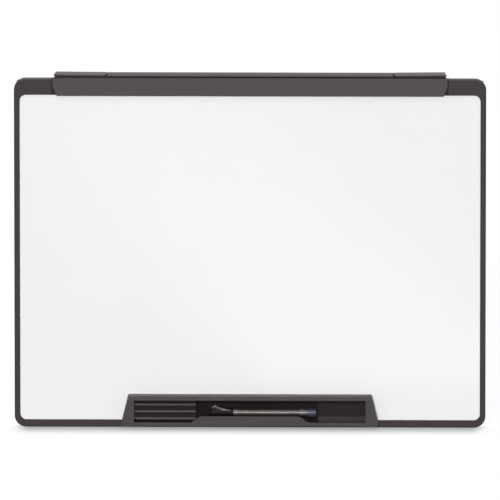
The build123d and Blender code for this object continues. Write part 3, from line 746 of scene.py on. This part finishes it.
# Screws with rounded heads: the profile runs from the recess over the head to the shank's end
def make_hanger_screws():
    low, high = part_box("hanger_screws")
    head_front = high.y - screw_head_height
    head_inner_radius = recess_reach + recess_border
    profile = [(lambda angle: cross_reach(angle) * recess_floor_share, high.y - recess_depth),
               (cross_reach, high.y - recess_edge_depth),
               (lambda angle: cross_reach(angle) * recess_lip_share + recess_lip,
                high.y - recess_lip_depth)]
    for i in range(1, head_steps + 1):
        turn = math.pi / 2 * i / head_steps
        radius = head_inner_radius + (screw_head_radius - head_inner_radius) * math.sin(turn)
        height_share = head_rim_share + (1 - head_rim_share) * math.cos(turn)
        profile.append((radius, head_front + screw_head_height * height_share))
    profile.append((screw_head_radius, head_front))
    profile.append((screw_shank_radius, head_front))
    profile.append((screw_shank_radius, low.y))
    first = low.x + screw_head_radius
    last = high.x - screw_head_radius
    shape = bmesh.new()
    for x in (first, (first + last) / 2, last):
        add_turned(shape, (x, 0, (low.z + high.z) / 2), profile)
    add_piece("cross_recess_screws", finished_mesh("cross_recess_screws", shape), "board",
              "screw_steel", ["hanger_screws"])


def add_block(shape, low, high):
    bmesh.ops.create_cube(shape, size=1.0, matrix=Matrix.Diagonal((*(high - low), 1.0)))
    fresh = [vert for vert in shape.verts if not vert.tag]
    bmesh.ops.translate(shape, vec=(low + high) / 2, verts=fresh)
    for vert in fresh:
        vert.tag = True


# Thin black piece in the joint under the cover and arms, with a strip and a small block in the gap
# where each arm meets the cover: dark pieces that stand in for the shade in these joints
def make_joint_shade_fill():
    shape = bmesh.new()
    add_block(shape, Vector((-fill_half_length, fill_front_y, fill_bottom_z)),
              Vector((fill_half_length, fill_back_y, fill_top_z)))
    for side in (-1, 1):
        inner, outer = sorted((side * gap_block_inner_x, side * gap_block_outer_x))
        add_block(shape, Vector((inner, gap_block_front_y, gap_block_bottom_z)),
                  Vector((outer, gap_block_back_y, gap_block_top_z)))
        inner, outer = sorted((side * gap_strip_inner_x, side * gap_strip_outer_x))
        add_block(shape, Vector((inner, fill_back_y, gap_block_bottom_z)),
                  Vector((outer, gap_strip_back_y, fill_top_z)))
    shade_fill = add_piece("joint_shade_fill", finished_mesh("joint_shade_fill", shape), "board", "rubber",
                     look="seal_rubber")
    soften(shade_fill, fill_edge)


# The arms as packed, with the ear beyond the leg drawn in to its real length
def make_swing_arms():
    for side_name in ("left", "right"):
        node = "hook_arm_" + side_name
        mesh = frame["nodes"][node].data.copy()
        low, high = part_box(node)
        reach = max(-low.x, high.x)
        squeeze = (ear_end_x - ear_start_x) / (reach - ear_start_x)
        for vert in mesh.vertices:
            beyond = abs(vert.co.x) - ear_start_x
            if beyond > 0 and vert.co.y < ear_back_y:
                vert.co.x = math.copysign(ear_start_x + beyond * squeeze, vert.co.x)
        arm = add_piece("swing_arm_" + side_name, mesh, side_name + "_hook", "arm_steel", [node])
        soften(arm)


def corner_cut(node):
    """Height and width of the slanted lower corners of a CAD node's outline."""
    low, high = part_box(node)
    points = {(round(v.co.x, 5), round(v.co.z, 5)) for v in frame["nodes"][node].data.vertices}
    rise = min(z for x, z in points if abs(x - low.x) < felt_outline_tolerance) - low.z
    run = min(x for x, z in points if abs(z - low.z) < felt_outline_tolerance) - low.x
    return rise, run


def rounded_outline(corners):
    """Points around the felt, with each corner as an arc."""
    outline = []
    count = len(corners)
    for i, corner in enumerate(corners):
        following = corners[(i + 1) % count]
        before = corners[i - 1] - corner
        after = following - corner
        half_angle = before.angle(after) / 2
        shorter_side = min(before.length, after.length)
        reach = min(felt_corner_radius / math.tan(half_angle), shorter_side / felt_arc_divisor)
        start = corner + before.normalized() * reach
        end = corner + after.normalized() * reach
        for k in range(felt_corner_steps + 1):
            share = k / felt_corner_steps
            outline.append(start * (1 - share) ** 2 + corner * 2 * share * (1 - share) + end * share ** 2)
        pieces = int(after.length / felt_point_gap)
        for k in range(1, pieces):
            spot = corner + after * (k / pieces)
            if (spot - corner).length > reach and (spot - following).length > felt_arc_clearance:
                outline.append(spot)
    return outline


def close_face(shape, rim, middle):
    """A flat face of the felt, as rings that step in from its rim towards its middle."""
    rings = [rim]
    for share in felt_face_shares:
        ring = []
        for vert in rim:
            x = vert.co.x + (middle.x - vert.co.x) * share
            z = vert.co.z + (middle.y - vert.co.z) * share
            ring.append(shape.verts.new((x, rim[0].co.y, z)))
        rings.append(ring)
    join_rings(shape, rings)
    shape.faces.new(rings[-1])


def roughen(mesh, low, high):
    """Small seeded dents that never leave the felt's box."""
    source = random.Random(felt_seed)
    for vert in mesh.vertices:
        push = Vector([source.uniform(-1, 1) for _ in range(3)]) * felt_dent
        spot = vert.co + push
        vert.co = [max(low[i], min(high[i], spot[i])) for i in range(3)]


# Felt pad: pressed layers with soft bulging rims, from the eraser's own outline
def make_felt_pad():
    low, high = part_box("eraser_felt")
    rise, run = corner_cut("eraser_felt")
    left = low.x + felt_inset
    right = high.x - felt_inset
    foot = low.z + felt_inset
    top = high.z - felt_inset
    corners = [Vector((low.x + run + felt_inset, foot)), Vector((high.x - run - felt_inset, foot)),
               Vector((right, low.z + rise)), Vector((right, top)),
               Vector((left, top)), Vector((left, low.z + rise))]
    outline = rounded_outline(corners)
    middle = Vector(((low.x + high.x) / 2, (low.z + high.z) / 2))
    layer = (high.y - low.y) / felt_layers
    shape = bmesh.new()
    rings = []
    for k in range(felt_layers):
        for i in range(felt_rim_steps + 1):
            turn = math.pi * i / felt_rim_steps
            depth = layer * (k + (1 - math.cos(turn)) / 2)
            pull = felt_bulge * (1 - math.sin(turn) ** felt_bulge_power)
            ring = []
            for point in outline:
                spot = point + (middle - point).normalized() * pull
                ring.append(shape.verts.new((spot.x, low.y + depth, spot.y)))
            rings.append(ring)
    join_rings(shape, rings)
    close_face(shape, rings[0], middle)
    close_face(shape, rings[-1], middle)
    mesh = finished_mesh("felt_pad", shape, felt_sharp_angle)
    roughen(mesh, low, high)
    pad = add_piece("felt_pad", mesh, "eraser", "felt", ["eraser_felt"])


def add_sheet(name, corners, material):
    shape = bmesh.new()
    shape.faces.new([shape.verts.new(corner) for corner in corners])
    mesh = mesh_from(name, shape)
    mesh.materials.append(material)
    sheet = bpy.data.objects.new(name, mesh)
    bpy.context.scene.collection.objects.link(sheet)
    return sheet


# Pale studio floor that takes the lamps' light and shadows and throws none back. The camera and reflections
# also see it glow, less along the board's foot, which paints a shadow there on top of the lamps' real one
def make_floor():
    finish = Finish("pale_floor")
    speckle = finish.noise(size=4 * MM, detail=3.0)
    white = (floor_white, floor_white, floor_white, 1)
    base = finish.toned(speckle, white, dark=0.99, pale=1.01)
    skin = finish.surface(Base_Color=base, Roughness=0.9, Specular_IOR_Level=0.0)
    from_foot = abs(finish.along("Y")).clamped(foot_near, foot_far)
    beside = abs(finish.along("X")).clamped(cad_high.x + foot_end_near, cad_high.x + foot_end_far)
    level = foot_shadow_glow + (from_foot + beside - from_foot * beside) * (floor_glow - foot_shadow_glow)
    glow = finish.node("ShaderNodeEmission", {}, {"Color": finish.seen() * level})
    finish.done(finish.node("ShaderNodeAddShader", {}, {0: skin, 1: glow}))
    corners = [(-floor_reach, -floor_reach, floor_level), (floor_reach, -floor_reach, floor_level),
               (floor_reach, floor_reach, floor_level), (-floor_reach, floor_reach, floor_level)]
    floor = add_sheet("pale_floor", corners, finish.owner)
    floor.visible_diffuse = False


# White card in front, which only reflections see, as a slanted bright band
def make_reflection_card():
    finish = Finish("white_card")
    glow = finish.node("ShaderNodeEmission", {}, {"Strength": card_glow})
    finish.done(glow)
    card = add_sheet("white_card", card_corners, finish.owner)
    card.visible_camera = False
    card.visible_diffuse = False
    card.visible_shadow = False
    card.visible_transmission = False


# Room light: white to the camera and in reflections, and weaker where it lights the board
def make_room_light():
    finish = Finish(bpy.data.worlds.new("soft_room"))
    level = finish.seen() * (1 - room_level) + room_level
    glow = finish.node("ShaderNodeBackground", {}, {"Color": (1, 1, 1, 1), "Strength": level})
    bpy.context.scene.world = finish.done(glow, "ShaderNodeOutputWorld")


def add_lamp(name, direction, level, spread):
    lamp = bpy.data.lights.new(name, "SUN")
    lamp.energy = level
    lamp.angle = spread
    holder = bpy.data.objects.new(name, lamp)
    holder.location = direction
    holder.rotation_euler = (Vector((0, 0, 0)) - Vector(direction)).to_track_quat("-Z", "Y").to_euler()
    bpy.context.scene.collection.objects.link(holder)


def make_camera():
    back = Vector((math.sin(camera_azimuth) * math.cos(camera_elevation),
                   -math.cos(camera_azimuth) * math.cos(camera_elevation),
                   math.sin(camera_elevation)))
    lens = bpy.data.cameras.new("camera")
    lens.sensor_width = sensor_width
    lens.lens = sensor_width * pixels_per_mm * camera_distance / MM / photo_pixels
    lens.clip_start = lens_near
    lens.clip_end = lens_far
    camera = bpy.data.objects.new("camera", lens)
    camera.location = camera_target + back * camera_distance
    camera.rotation_euler = (-back).to_track_quat("-Z", "Y").to_euler()
    bpy.context.scene.collection.objects.link(camera)
    bpy.context.scene.camera = camera


dress_cad_nodes()
make_hanger_screws()
make_joint_shade_fill()
make_swing_arms()
make_marker_cap()
make_felt_pad()
make_floor()
make_reflection_card()
make_room_light()
add_lamp("front_light", front_direction, front_level, front_spread)
add_lamp("high_strip_light", strip_direction, strip_level, strip_spread)
add_lamp("overhead_light", overhead_direction, overhead_level, overhead_spread)
make_camera()
bpy.context.scene.view_settings.view_transform = "Standard"
